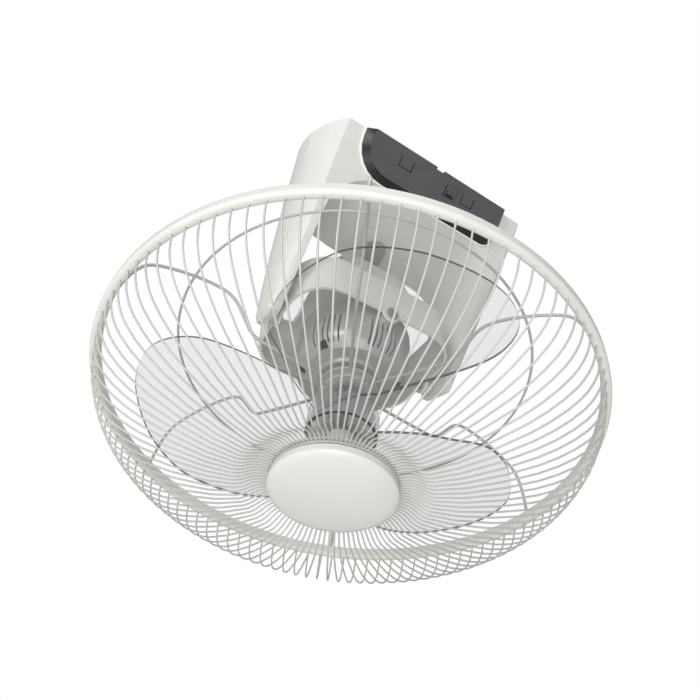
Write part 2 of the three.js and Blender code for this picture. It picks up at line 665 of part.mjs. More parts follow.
// ---- Cage -------------------------------------------------------------------------------------
// Hoop: a groove under it takes the front guard's ring and a ledge on top takes the rear guard's.
const half = RIM_HEIGHT / 2;
const FRONT_RING_R = RIM_R - 4.6;
const REAR_RING_R = RIM_R - 6.6;
const SEAT_Z = -4.9; // middle of the front guard's ring in its groove
const hoop = turned([
  [RIM_R - 8.6, -half], [FRONT_RING_R - 2.3, -half], [FRONT_RING_R - 2.3, SEAT_Z + 1.8],
  [FRONT_RING_R + 2.1, SEAT_Z + 1.8], [FRONT_RING_R + 2.1, -half], [RIM_R - 1.6, -half], [RIM_R, -half + 3],
  [RIM_R, half - 3], [RIM_R - 2, half], [RIM_R - 4.6, half], [RIM_R - 4.6, half - 4.2],
  [RIM_R - 8.6, half - 4.2],
], RING_SIDES);
node(cage, 'rim_hoop', hoop, WHITE);

// Front guard: radial wires from the hoop round the rim's corner and in to the cap.
const depth = CAGE_DEPTH / 86.5;
const INNER_RING_R = BADGE_R - 3.4;
const SADDLE_Z = -79.5 * depth;
const frontProfile = [
  [FRONT_RING_R, SEAT_Z], [RIM_R - 11, -26 * depth], [RIM_R - 26, -46 * depth], [RIM_R - 68, -69.5 * depth],
  [BADGE_R + 27, -86.5 * depth], [BADGE_R + 10, SADDLE_Z], [INNER_RING_R, SADDLE_Z],
];
const WIRE_START = (191.76 % (360 / WIRE_COUNT)) * Math.PI / 180;
const frontGuard = joined(
  radialWires(frontProfile, WIRE_R, 3, WIRE_COUNT, WIRE_START),
  ringWire(FRONT_RING_R + 0.2, SEAT_Z, 1.5),
  ringWire(INNER_RING_R, SADDLE_Z, 1.5, 36),
);
node(cage, 'front_guard', frontGuard, WHITE);

// Rear guard: heavy wires from the hoop, over one big ring, down to the plate on the motor's collar.
const GUARD_Z = 36;
const GUARD_RING_R = 179;
const rearBends = [
  [229.5, 30], [224, 46], [217, 54.5], [206, 61], [180, 70.5], [150, 75], [137, 71],
  [128, 62], [117, 47], [108, 38], [101, GUARD_Z], [26, GUARD_Z],
].map(([r, z]) => [r > 110 ? r + RIM_R - 240 : r, z]);
const rearProfile = [[REAR_RING_R - 0.4, half - 1.8], ...rearBends];
const rearGuard = joined(
  radialWires(rearProfile, SPOKE_R, 6, SPOKE_COUNT, 0),
  ringWire(REAR_RING_R, half - 2.3, 1.6),
  ringWire(GUARD_RING_R + RIM_R - 240, 71, 1.6),
  ringBox(COLLAR_R + GAP, 30, GUARD_Z - 1.6, GUARD_Z + 1.6),
);
node(cage, 'rear_guard', rearGuard, WHITE);
const NUT_HIGH = GUARD_Z - 1.6 - GAP;
const nutOutline = [];
for (let k = 0; k < 12; k += 1) {
  for (const [r, turn] of [[24, -9], [24, 6], [22.3, 8], [22.3, 19]]) {
    const angle = (30 * k + turn) * Math.PI / 180;
    nutOutline.push([r * Math.cos(angle), r * Math.sin(angle)]);
  }
}
node(cage, 'guard_nut', without(extruded(nutOutline, 31, NUT_HIGH), disc(COLLAR_R + GAP, 30, 37)), SOFT_WHITE);

// Badge: a plate inside the wires, the plain cap outside them and one screw.
const BADGE_SEAT_Z = SADDLE_Z + 1.5 + GAP; // on top of the guard's inner ring
const badgePlate = without(disc(INNER_RING_R + 2, BADGE_SEAT_Z, BADGE_SEAT_Z + 2, 36), disc(2, -100, -50, 12));
node(cage, 'badge_plate', badgePlate, SOFT_WHITE);
const CAP_EDGE_Z = SADDLE_Z - 9.7;
const capTop = SADDLE_Z - 1.5 - GAP;
const domeDrop = 7;
const capOutline = [
  [0, CAP_EDGE_Z - domeDrop], [BADGE_R * 0.35, CAP_EDGE_Z - domeDrop * 0.9], [BADGE_R * 0.65, CAP_EDGE_Z - domeDrop * 0.62],
  [BADGE_R * 0.88, CAP_EDGE_Z - domeDrop * 0.24], [BADGE_R - 1.4, CAP_EDGE_Z], [BADGE_R, CAP_EDGE_Z + 1.6],
  [BADGE_R, capTop], [BADGE_R - 1.8, capTop], [BADGE_R - 2, CAP_EDGE_Z + 2.4],
  [BADGE_R * 0.6, CAP_EDGE_Z - domeDrop * 0.66 + 2], [5, CAP_EDGE_Z - domeDrop + 2.4], [5, BADGE_SEAT_Z - GAP],
  [1.8, BADGE_SEAT_Z - GAP], [1.8, CAP_EDGE_Z - 2], [0, CAP_EDGE_Z - 2],
];
node(cage, 'badge_cap', turned(capOutline), WHITE, { roughness: 0.35 });
const badgeScrewMove = new THREE.Matrix4().makeTranslation(0, 0, BADGE_SEAT_Z + 2 + GAP - 13);
node(cage, 'badge_screw', screw(1.5, 13, 3.6, 2), STEEL, { metalness: 0.8, move: badgeScrewMove });

// ---- Rotor: shaft, core and the blades with their hub -----------------------------------------
const HUB_LOW = -27;
const HUB_HIGH = 2;
const SHAFT_LOW = HUB_LOW - 6;
node(cage, 'motor_shaft', disc(SHAFT_R, SHAFT_LOW, PIVOT_Z + 44, 24), STEEL, { metalness: 0.8 });
node(cage, 'rotor_core', ringBox(SHAFT_R + GAP, STATOR_IN - 1, STATOR_LOW - 2, STATOR_HIGH + 2), STEEL,
  { metalness: 0.6 });

// One blade as a curved plate; each station is an arc from the leading edge B to the trailing edge A.
const bladeReach = BLADE_TIP_R / 200.5;
const stations = [
  [30, -44, 60], [50, -41.5, 59], [77, -38, 58], [100, -34, 58], [130, -31.5, 57], [150, -25.5, 55.5],
  [168, -17.5, 52.5], [184, -9, 48], [193, -3, 43], [198, 5, 37.5], [200.5, 14, 31],
].map(([r, from, to]) => [r * bladeReach, from, to]);
const CHORDS = 6;
const BLADE_HIGH_Z = 16;
const BLADE_LOW_Z = -20;
function bladeSection(r, from, to, side) {
  const points = [];
  for (let k = 0; k <= CHORDS; k += 1) {
    const share = k / CHORDS;
    const degrees = THREE.MathUtils.lerp(from, to, share);
    const angle = degrees * Math.PI / 180;
    const along = (degrees + 44) / 102; // 0 at the low edge of the root, 1 at the straight high edge
    const twist = THREE.MathUtils.lerp(1.12, 0.86, r / BLADE_TIP_R);
    const middle = (BLADE_HIGH_Z + BLADE_LOW_Z) / 2;
    const camber = -4 * Math.sin(Math.PI * Math.min(Math.max(along, 0), 1));
    const z = middle + (BLADE_HIGH_Z - BLADE_LOW_Z) * (along - 0.5) * twist + camber;
    points.push([r * Math.cos(angle), r * Math.sin(angle), z + side * BLADE_T / 2]);
  }
  return points;
}
function bladeSolid() {
  const count = CHORDS + 1;
  const positions = [];
  for (const side of [1, -1]) {
    for (const [r, from, to] of stations) positions.push(...bladeSection(r, from, to, side));
  }
  const rows = stations.length;
  const at = (side, row, k) => side * rows * count + row * count + k;
  const index = [];
  const quad = (a, b, c, d) => index.push(a, b, c, a, c, d);
  for (let row = 0; row + 1 < rows; row += 1) {
    for (let k = 0; k + 1 < count; k += 1) {
      quad(at(0, row, k), at(0, row + 1, k), at(0, row + 1, k + 1), at(0, row, k + 1));
      quad(at(1, row, k), at(1, row, k + 1), at(1, row + 1, k + 1), at(1, row + 1, k));
    }
    quad(at(1, row, 0), at(1, row + 1, 0), at(0, row + 1, 0), at(0, row, 0));
    quad(at(0, row, count - 1), at(0, row + 1, count - 1), at(1, row + 1, count - 1), at(1, row, count - 1));
  }
  for (let k = 0; k + 1 < count; k += 1) {
    quad(at(1, 0, k), at(0, 0, k), at(0, 0, k + 1), at(1, 0, k + 1));
    quad(at(0, rows - 1, k), at(1, rows - 1, k), at(1, rows - 1, k + 1), at(0, rows - 1, k + 1));
  }
  const geometry = new THREE.BufferGeometry();
  geometry.setAttribute('position', new THREE.Float32BufferAttribute(positions.flat(), 3));
  geometry.setIndex(index);
  return geometry;
}
const bladeShape = bladeSolid();
const blades = [];
for (let k = 0; k < BLADE_COUNT; k += 1) {
  blades.push(solid(bladeShape.clone().rotateZ(2 * Math.PI * k / BLADE_COUNT)));
}
const hubShell = turned([
  [SHAFT_R + GAP, HUB_LOW], [9, HUB_LOW], [9, HUB_HIGH - 5], [HUB_R - 3, HUB_HIGH - 5], [HUB_R - 3, HUB_LOW + 2],
  [HUB_R, HUB_LOW + 2], [HUB_R, HUB_HIGH - 2], [HUB_R - 2, HUB_HIGH], [SHAFT_R + GAP, HUB_HIGH],
], 24);
const bladeTrim = disc(HUB_R - 1.5, -60, 60, 24);
node(cage, 'fan_blades', joined(without(joined(...blades), bladeTrim), hubShell), FROSTED, { opacity: 0.5 });
const spinnerMove = new THREE.Matrix4().makeTranslation(0, 0, SHAFT_LOW - 5);
const spinner = turned([
  [0, 0], [9, 0], [12, 2], [13, 5], [13, 5 + HUB_LOW - SHAFT_LOW - GAP], [SHAFT_R + GAP, 5 + HUB_LOW - SHAFT_LOW - GAP],
  [SHAFT_R + GAP, 5 - GAP], [0, 5 - GAP],
], 24);
node(cage, 'spinner_nut', spinner, SOFT_WHITE, { move: spinnerMove });

export default object;
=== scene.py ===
# %% [markdown]
# # An orbiting ceiling fan
# The fan hangs from a ceiling on a white plastic base with two legs. Between the legs a swing frame
# tips one way and, inside it, the motor tips the other way, so that the caged head can be led round
# a cone by a crank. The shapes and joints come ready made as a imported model, in metres. This file
# gives them a camera, light and finishes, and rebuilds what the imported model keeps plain.

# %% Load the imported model
import math
import bpy
from mathutils import Matrix, Vector


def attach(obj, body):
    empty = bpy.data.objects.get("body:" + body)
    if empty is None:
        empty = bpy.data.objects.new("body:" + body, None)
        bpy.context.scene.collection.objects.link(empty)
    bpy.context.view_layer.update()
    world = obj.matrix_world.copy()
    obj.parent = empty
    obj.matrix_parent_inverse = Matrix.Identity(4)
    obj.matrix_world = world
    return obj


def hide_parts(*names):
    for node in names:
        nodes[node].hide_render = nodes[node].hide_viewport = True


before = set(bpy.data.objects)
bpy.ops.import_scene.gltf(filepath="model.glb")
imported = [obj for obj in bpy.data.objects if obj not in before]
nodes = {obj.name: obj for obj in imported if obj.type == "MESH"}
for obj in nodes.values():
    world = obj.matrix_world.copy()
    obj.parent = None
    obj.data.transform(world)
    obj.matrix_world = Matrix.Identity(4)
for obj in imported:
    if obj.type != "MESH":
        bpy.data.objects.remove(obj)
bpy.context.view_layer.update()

# %% [markdown]
# ## Camera
# The photograph was taken from below and to the left, looking up, so the near edge of the cage is at
# the top of the picture. The place and the three directions of the camera were worked out from the
# outline of the hoop, the spread of the wires and the edges of the base.

# %% Place the camera
camera_place = Vector((-0.2946, -0.5729, -0.4975))
camera_right = Vector((0.8282, -0.5267, 0.1914))
camera_up = Vector((-0.3889, -0.2943, 0.8730))
camera_back = camera_right.cross(camera_up)
camera_data = bpy.data.cameras.new("camera")
camera_data.sensor_width = 36.0
camera_data.lens = 35.574
camera = bpy.data.objects.new("camera", camera_data)
turn = Matrix((camera_right, camera_up, camera_back)).transposed()
camera.matrix_world = Matrix.Translation(camera_place) @ turn.to_4x4()
bpy.context.scene.collection.objects.link(camera)
bpy.context.scene.camera = camera
print("camera looks along", tuple(round(v, 3) for v in -camera_back))

# %% [markdown]
# ## Room and light
# The object stands in front of plain white, and its lower faces are as bright as its sides, so light
# comes from all round: a pale world, a big soft lamp on the camera's side, and a pale floor far
# below that throws light back up. The camera and light that passes through a clear piece see the
# world as plain white; reflections and the object itself see the softer, pale one.

# %% World, floor and lamps
world = bpy.data.worlds.new("studio")
bpy.context.scene.world = world
world.use_nodes = True
sky = world.node_tree
sky.nodes.clear()
seen = sky.nodes.new("ShaderNodeBackground")
seen.inputs["Color"].default_value = (1.0, 1.0, 1.0, 1.0)
seen.inputs["Strength"].default_value = 1.0
felt = sky.nodes.new("ShaderNodeBackground")
felt_strength = 0.40
felt.inputs["Color"].default_value = (1.0, 0.995, 0.985, 1.0)
felt.inputs["Strength"].default_value = felt_strength
rays = sky.nodes.new("ShaderNodeLightPath")
either = sky.nodes.new("ShaderNodeMath")
either.operation = "MAXIMUM"
sky.links.new(rays.outputs["Is Camera Ray"], either.inputs[0])
sky.links.new(rays.outputs["Is Transmission Ray"], either.inputs[1])
pick = sky.nodes.new("ShaderNodeMixShader")
sky.links.new(either.outputs[0], pick.inputs[0])
sky.links.new(felt.outputs[0], pick.inputs[1])
sky.links.new(seen.outputs[0], pick.inputs[2])
out = sky.nodes.new("ShaderNodeOutputWorld")
sky.links.new(pick.outputs[0], out.inputs[0])


def soft_lamp(name, place, target, size, power):
    """A round lamp, its size in metres and its power in watts, that faces the target."""
    data = bpy.data.lights.new(name, "AREA")
    data.shape = "DISK"
    data.size = size
    data.energy = power
    lamp = bpy.data.objects.new(name, data)
    aim = Vector(target) - Vector(place)
    lamp.matrix_world = Matrix.Translation(place) @ aim.to_track_quat("-Z", "Y").to_matrix().to_4x4()
    bpy.context.scene.collection.objects.link(lamp)


head_middle = (0.0, 0.0, -0.22)
soft_lamp("key", (-1.9, -1.1, 0.2), head_middle, size=1.1, power=17)
soft_lamp("front", (-0.75, -1.25, -1.05), head_middle, size=1.2, power=12)
soft_lamp("top", (0.4, 0.6, 1.9), head_middle, size=1.6, power=11)
floor_width, floor_level = 14.0, -1.6
bpy.ops.object.select_all(action="DESELECT")
bpy.ops.mesh.primitive_plane_add(size=floor_width, location=(0, 0, floor_level))
floor = bpy.context.object
floor.name = "floor"
print("lamps and floor are in place")

# %% [markdown]
# ## A small language for finishes
# A finish is a set of shader nodes. Written with operators, the maths of a mask reads like maths:
# each value wraps a socket, and adding or multiplying two of them adds the Math node for it.

# %% Socket values and the finish maker


class Value:
    def __init__(self, finish, socket):
        self.finish = finish
        self.socket = socket

    def math(self, operation, other, swap=False):
        pair = [other, self] if swap else [self, other]
        return self.finish.node("ShaderNodeMath", {"operation": operation}, {0: pair[0], 1: pair[1]})

    def __add__(self, other):
        return self.math("ADD", other)

    def __radd__(self, other):
        return self.math("ADD", other, True)

    def __sub__(self, other):
        return self.math("SUBTRACT", other)

    def __rsub__(self, other):
        return self.math("SUBTRACT", other, True)

    def __mul__(self, other):
        return self.math("MULTIPLY", other)

    def __rmul__(self, other):
        return self.math("MULTIPLY", other, True)

    def clamp(self):
        return self.finish.node("ShaderNodeClamp", {}, {0: self})


class Finish:
    def __init__(self, name):
        self.material = bpy.data.materials.new(name)
        self.material.use_nodes = True
        self.tree = self.material.node_tree
        self.tree.nodes.clear()
        self.output = self.tree.nodes.new("ShaderNodeOutputMaterial")
        self.place = self.node("ShaderNodeTexCoord", {}, {}, "Object")

    def feed(self, node, sockets):
        for key, value in sockets.items():
            socket = node.inputs[key]
            if isinstance(value, Value):
                self.tree.links.new(value.socket, socket)
            else:
                socket.default_value = value

    def node(self, kind, settings, sockets, result=0):
        made = self.tree.nodes.new(kind)
        for key, value in settings.items():
            setattr(made, key, value)
        self.feed(made, sockets)
        return Value(self, made.outputs[result])

    def noise(self, scale, detail=3.0, roughness=0.55, place=None):
        sockets = {"Vector": place or self.place, "Scale": scale, "Detail": detail, "Roughness": roughness}
        return self.node("ShaderNodeTexNoise", {}, sockets)

    def ramp(self, value, low, high):
        return self.node("ShaderNodeMapRange", {"clamp": True},
                         {"Value": value, "From Min": low, "From Max": high})

    def blend(self, mask, first, second):
        return self.node("ShaderNodeMix", {"data_type": "RGBA"}, {0: mask, 6: first, 7: second}, 2)

    def mix_shaders(self, share, first, second):
        return self.node("ShaderNodeMixShader", {}, {0: share, 1: first, 2: second})

    def bump(self, height, strength, distance):
        return self.node("ShaderNodeBump", {},
                         {"Height": height, "Strength": strength, "Distance": distance})

    def surface(self, **sockets):
        named = {key.replace("_", " "): value for key, value in sockets.items()}
        return self.node("ShaderNodeBsdfPrincipled", {}, named)

    def done(self, shader):
        self.tree.links.new(shader.socket, self.output.inputs["Surface"])
        return self.material


def rgb(*levels):
    """Blender's linear colour from the 0 to 255 levels of red, green and blue in a picture."""
    linear = [((c / 255 + 0.055) / 1.055) ** 2.4 if c > 10 else c / 3294.6 for c in levels]
    return (*linear, 1.0)


# %% [markdown]
# ## White moulded plastic
# The base, the swing frame and the cap are injection moulded. Such plastic is never quite even: a
# very fine spark-eroded grain breaks the reflections, and the gloss drifts a little over a hand's
# width. Two scales of noise do that without changing the colour by more than a shade.

# %% Moulded plastic


def moulded_plastic(name, color, shade, gloss, grain=2600.0, depth=0.00004, coat=0.0):
    f = Finish(name)
    drift = f.noise(scale=9.0, detail=2.0)
    cloud = f.noise(scale=70.0, detail=3.0)
    fine = f.noise(scale=grain, detail=2.0)
    tone = f.blend(f.ramp(drift * 0.7 + cloud * 0.3, low=0.35, high=0.65), color, shade)
    rough = gloss + (drift - 0.5) * 0.10 + (fine - 0.5) * 0.06
    skin = f.bump(fine, strength=0.25, distance=depth)
    return f.done(f.surface(Base_Color=tone, Roughness=rough, Normal=skin, Coat_Weight=coat, IOR=1.46))


white_plastic = moulded_plastic("white_plastic", rgb(236, 236, 232), rgb(230, 230, 226), 0.38)
# The frame is the same white plastic as the base; its lighter colour is painted light that brightens its shaded
# inside.
frame_plastic_painted_light = moulded_plastic("frame_plastic_painted_light", rgb(246, 246, 242), rgb(240, 240, 236), 0.42)
cap_plastic = moulded_plastic("cap_plastic", rgb(238, 238, 234), rgb(233, 233, 229), 0.30, coat=0.2)
hoop_plastic = moulded_plastic("hoop_plastic", rgb(240, 240, 236), rgb(234, 234, 230), 0.34)
# The lip is the base's white plastic; its lighter colour is a painted highlight.
lip_painted_highlight = moulded_plastic("lip_painted_highlight", rgb(252, 252, 250), rgb(248, 248, 246), 0.3)
soft_plastic = moulded_plastic("soft_plastic", rgb(214, 214, 209), rgb(204, 204, 199), 0.5)
# A darker grey than the crank's own plastic: painted shade for the crank under the base.
crank_painted_shade = moulded_plastic("crank_painted_shade", rgb(176, 176, 172), rgb(166, 166, 162), 0.5)
panel_plastic = moulded_plastic("panel_plastic", rgb(92, 92, 93), rgb(86, 86, 87), 0.46, 3200.0, 0.00005)
# The chamfers' near-black is painted shade: the same panel plastic, darker where its faces turn away from the
# light.
chamfer_painted_shade = moulded_plastic("chamfer_painted_shade", rgb(38, 38, 39), rgb(32, 32, 33), 0.26, 3200.0, 0.00002)
# Dark plastic for the small dark parts, and also painted shadow at the receiver's edges.
dark_plastic_and_painted_shadow = moulded_plastic("dark_plastic_and_painted_shadow", rgb(30, 30, 32), rgb(24, 24, 26), 0.25)
print("moulded plastics are made")

# %% [markdown]
# ## Coated wire and painted steel
# The guard wires are steel with a thick white powder coat. The coat runs in tiny dimples, like the
# skin of an orange. The motor is painted in a thinner silver grey enamel, which shows the sheet
# metal's faint waviness.

# %% Powder coat, enamel, steel and copper


def powder_coat(name, color, shade):
    f = Finish(name)
    dimples = f.noise(scale=1500.0, detail=1.0)
    drift = f.noise(scale=24.0, detail=2.0)
    tone = f.blend(f.ramp(drift, low=0.3, high=0.7), color, shade)
    rough = 0.34 + (dimples - 0.5) * 0.12
    skin = f.bump(dimples, strength=0.35, distance=0.00008)
    return f.done(f.surface(Base_Color=tone, Roughness=rough, Normal=skin, IOR=1.5))


def enamel(name, color, shade, metal):
    f = Finish(name)
    wave = f.noise(scale=40.0, detail=2.0)
    speck = f.noise(scale=1800.0, detail=2.0)
    tone = f.blend(f.ramp(wave * 0.6 + speck * 0.4, low=0.35, high=0.65), color, shade)
    rough = 0.36 + (wave - 0.5) * 0.12
    skin = f.bump(wave + speck * 0.15, strength=0.2, distance=0.0003)
    return f.done(f.surface(Base_Color=tone, Metallic=metal, Roughness=rough, Normal=skin))


def turned_steel(name, color, gloss):
    f = Finish(name)
    stretched = f.node("ShaderNodeMapping", {}, {"Vector": f.place, "Scale": (40.0, 40.0, 2200.0)})
    lines = f.noise(scale=1.0, detail=2.0, roughness=0.6, place=stretched)
    spots = f.noise(scale=160.0, detail=3.0)
    darker = tuple(0.8 * c for c in color[:3]) + (1.0,)
    tone = f.blend(f.ramp(spots, low=0.35, high=0.7), color, darker)
    rough = gloss + (lines - 0.5) * 0.2
    skin = f.bump(lines, strength=0.2, distance=0.00005)
    return f.done(f.surface(Base_Color=tone, Metallic=1.0, Roughness=rough, Normal=skin))


def copper_in_painted_shade(name):
    f = Finish(name)
    strands = f.node("ShaderNodeTexWave", {"wave_type": "RINGS", "rings_direction": "Z"},
                     {"Vector": f.place, "Scale": 260.0, "Distortion": 1.5, "Detail": 1.0})
    # Copper's colour is painted dark brown-grey here: painted shade for the winding deep behind the ports.
    tone = f.blend(strands, rgb(62, 52, 46), rgb(98, 80, 68))
    skin = f.bump(strands, strength=0.5, distance=0.0004)
    return f.done(f.surface(Base_Color=tone, Metallic=0.3, Roughness=0.35, Normal=skin))


# The coats are white, but both colours are painted grey: painted shade for the sides of the thin wires, darker
# still on the heavier rear wires.
wire_coat_painted_shade = powder_coat("wire_coat_painted_shade", rgb(212, 212, 208), rgb(202, 202, 197))
spoke_coat_painted_shade = powder_coat("spoke_coat_painted_shade", rgb(200, 200, 196), rgb(190, 190, 185))
motor_enamel = enamel("motor_enamel", rgb(206, 206, 203), rgb(194, 194, 191), 0.35)
bright_steel = turned_steel("bright_steel", (0.60, 0.61, 0.62, 1.0), 0.3)
core_steel = turned_steel("core_steel", (0.34, 0.35, 0.37, 1.0), 0.45)
winding = copper_in_painted_shade("copper_in_painted_shade")
print("metal finishes are made")

# %% [markdown]
# ## Frosted blades
# The blades are a milky clear plastic: the wires behind them show through as soft grey lines, and their edges,
# where one looks through more of it, are darker. Part of the light passes straight through, and the rest is
# scattered by the frosting. The cut rims are given a nearly solid dark grey, a painted shade for how a clear rim
# looks dark, and the hub is clearer and glossier than the blades.

# %% Frosted plastic, rims in painted shade and clear hub


def frosted_plastic(name):
    f = Finish(name)
    haze = f.noise(scale=30.0, detail=3.0)
    grain = f.noise(scale=2400.0, detail=1.0)
    edge = f.node("ShaderNodeLayerWeight", {}, {"Blend": 0.35}, "Facing")
    tone = f.blend(f.ramp(haze, low=0.3, high=0.7), rgb(226, 229, 228), rgb(218, 222, 221))
    skin = f.bump(grain, strength=0.2, distance=0.00004)
    milk = f.surface(Base_Color=tone, Roughness=0.34 + (haze - 0.5) * 0.1, Normal=skin, IOR=1.45)
    clear = f.node("ShaderNodeBsdfTransparent", {}, {"Color": (0.93, 0.935, 0.933, 1.0)})
    milk_share = (0.035 + edge * 0.22).clamp()
    return f.done(f.mix_shaders(milk_share, clear, milk))


def painted_rim_shade(name):
    f = Finish(name)
    haze = f.noise(scale=60.0, detail=2.0)
    tone = f.blend(f.ramp(haze, low=0.3, high=0.7), rgb(84, 86, 85), rgb(66, 68, 67))
    solid = f.surface(Base_Color=tone, Roughness=0.25 + (haze - 0.5) * 0.1, IOR=1.45)
    clear = f.node("ShaderNodeBsdfTransparent", {}, {"Color": (0.8, 0.8, 0.8, 1.0)})
    # A nearly solid dark grey: painted shade for how a clear rim looks dark.
    solid_share = 0.85
    return f.done(f.mix_shaders(solid_share, clear, solid))


def clear_hub(name):
    f = Finish(name)
    haze = f.noise(scale=90.0, detail=3.0)
    edge = f.node("ShaderNodeLayerWeight", {}, {"Blend": 0.4}, "Facing")
    tone = f.blend(f.ramp(haze, low=0.3, high=0.7), rgb(224, 226, 225), rgb(204, 206, 205))
    solid = f.surface(Base_Color=tone, Roughness=0.16 + (haze - 0.5) * 0.1, IOR=1.5)
    clear = f.node("ShaderNodeBsdfTransparent", {}, {"Color": (0.93, 0.935, 0.93, 1.0)})
    solid_share = (0.12 + edge * 0.5).clamp()
    return f.done(f.mix_shaders(solid_share, clear, solid))


blade_plastic = frosted_plastic("blade_plastic")
hub_plastic = clear_hub("hub_plastic")
blade_rim_painted_shade = painted_rim_shade("blade_rim_painted_shade")
print("clear and frosted plastics are made")

# %% [markdown]
# ## Circuit board
# The control board is hidden in the base. It is green lacquer with lighter tracks, drawn by the
# borders between the cells of a Voronoi pattern.

# %% Circuit board


def circuit_board(name):
    f = Finish(name)
    tracks = f.node("ShaderNodeTexVoronoi", {"feature": "DISTANCE_TO_EDGE"}, {"Vector": f.place, "Scale": 260.0})
    line = f.ramp(tracks, low=0.02, high=0.06)
    tone = f.blend(line, rgb(118, 150, 96), rgb(34, 84, 52))
    skin = f.bump(line, strength=0.4, distance=0.0001)
    return f.done(f.surface(Base_Color=tone, Roughness=0.4, Normal=skin))


board_green = circuit_board("board_green")
print("circuit board is made")

# %% [markdown]
# ## Frames of reference
# The head tips with the swing frame and then inside it, so everything on the cage is modelled upright
# round the Z axis first, where radii and heights can be read off, and is then laid into its tilted
# place in one go. The object itself stays at the origin.

# %% Where the cage stands
gimbal = Vector((0.0, 0.0, -0.1776))
swing_tilt = math.radians(-20.24)
head_tilt = math.radians(7.38)
rim_drop = 0.089
frame_place = Matrix.Translation(gimbal) @ Matrix.Rotation(swing_tilt, 4, "X")
cage_place = frame_place @ Matrix.Rotation(head_tilt, 4, "Y") @ Matrix.Translation((0, 0, -rim_drop))
print("hoop's middle:", tuple(round(v, 4) for v in cage_place.translation))

# %% [markdown]
# ## Tools for modelling by operators
# Operators act on whatever is selected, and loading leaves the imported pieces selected. So one helper
# opens a fresh selection, and another ends a piece: it merges doubles, lays the mesh in its place,
# turns on smooth shading up to an angle, and hangs the piece on its body. Corners that lie closer
# than two thousandths of a millimetre count as doubles.

# %% Helpers for pieces
same_point = 0.000002


def only(piece):
    if bpy.context.mode != "OBJECT":
        bpy.ops.object.mode_set(mode="OBJECT")
    bpy.ops.object.select_all(action="DESELECT")
    piece.select_set(True)
    bpy.context.view_layer.objects.active = piece


def edit_all(piece):
    only(piece)
    bpy.ops.object.mode_set(mode="EDIT")
    bpy.ops.mesh.select_all(action="SELECT")


def apply_modifier(piece, kind, **settings):
    only(piece)
    modifier = piece.modifiers.new(kind.lower(), kind)
    for key, value in settings.items():
        setattr(modifier, key, value)
    bpy.ops.object.modifier_apply(modifier=modifier.name)


def join_pieces(piece, other):
    only(other)
    piece.select_set(True)
    bpy.context.view_layer.objects.active = piece
    bpy.ops.object.join()


def finish_piece(piece, name, material, body, stands_for=(), place=None, angle=35.0, outward=True):
    edit_all(piece)
    bpy.ops.mesh.remove_doubles(threshold=same_point)
    if outward:
        bpy.ops.mesh.select_all(action="SELECT")
        bpy.ops.mesh.normals_make_consistent(inside=False)
    bpy.ops.object.mode_set(mode="OBJECT")
    if place is not None:
        piece.data.transform(place)
    bpy.ops.object.shade_smooth_by_angle(angle=math.radians(angle))
    piece.name = name
    piece.data.name = name
    if not piece.data.materials:
        piece.data.materials.append(material)
    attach(piece, body)
    for node_name in stands_for:
        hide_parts(node_name)
    print(name, "faces:", len(piece.data.polygons))
    return piece


# %% [markdown]
# ## Bent wire
# A guard wire is straight stock bent over formers, so its bends are short arcs. The bends are given
# as a few points, and a curve that passes through every one of them is sampled finely between. A
# round bevel gives the thickness. The curve becomes a mesh before it is repeated.

# %% A wire through points


def through(points, parts):
    """Points of a Catmull-Rom curve through the given [radius, height] pairs, in metres."""
    pts = [Vector((r / 1000, 0, z / 1000)) for r, z in points]
    pts = [pts[0] * 2 - pts[1]] + pts + [pts[-1] * 2 - pts[-2]]
    line = []
    for k in range(1, len(pts) - 2):
        a, b, c, d = pts[k - 1:k + 3]
        times = [0.0]  # the root of each distance keeps sharp bends free of loops
        for u, v in ((a, b), (b, c), (c, d)):
            times.append(times[-1] + (v - u).length ** 0.5)
        t0, t1, t2, t3 = times
        for step in range(parts):
            t = t1 + (t2 - t1) * step / parts
            ab = a * ((t1 - t) / (t1 - t0)) + b * ((t - t0) / (t1 - t0))
            bc = b * ((t2 - t) / (t2 - t1)) + c * ((t - t1) / (t2 - t1))
            cd = c * ((t3 - t) / (t3 - t2)) + d * ((t - t2) / (t3 - t2))
            abc = ab * ((t2 - t) / (t2 - t0)) + bc * ((t - t0) / (t2 - t0))
            bcd = bc * ((t3 - t) / (t3 - t1)) + cd * ((t - t1) / (t3 - t1))
            line.append(abc * ((t2 - t) / (t2 - t1)) + bcd * ((t - t1) / (t2 - t1)))
    return line + [pts[-2]]


def bent_wire(points, thick, sides):
    data = bpy.data.curves.new("wire", "CURVE")
    data.dimensions = "3D"
    data.bevel_depth = thick / 2
    data.bevel_resolution = (sides - 4) // 2
    data.use_fill_caps = True
    spline = data.splines.new("POLY")
    spline.points.add(len(points) - 1)
    for point, place in zip(spline.points, points):
        point.co = (*place, 1.0)
    wire = bpy.data.objects.new("wire", data)
    bpy.context.scene.collection.objects.link(wire)
    only(wire)
    bpy.ops.object.convert(target="MESH")
    return bpy.context.object


def repeat_round(piece, count, start=0.0):
    edit_all(piece)
    bpy.ops.transform.rotate(value=-start, orient_axis="Z", center_override=(0, 0, 0))
    bpy.ops.mesh.spin(steps=count - 1, dupli=True, angle=2 * math.pi * (count - 1) / count,
                      center=(0, 0, 0), axis=(0, 0, 1))
    bpy.ops.object.mode_set(mode="OBJECT")


def add_ring(piece, radius, height, thick, segments=120, sides=8):
    bpy.ops.object.select_all(action="DESELECT")
    bpy.ops.mesh.primitive_torus_add(major_radius=radius / 1000, minor_radius=thick / 2,
                                     location=(0, 0, height / 1000), major_segments=segments,
                                     minor_segments=sides)
    join_pieces(piece, bpy.context.object)


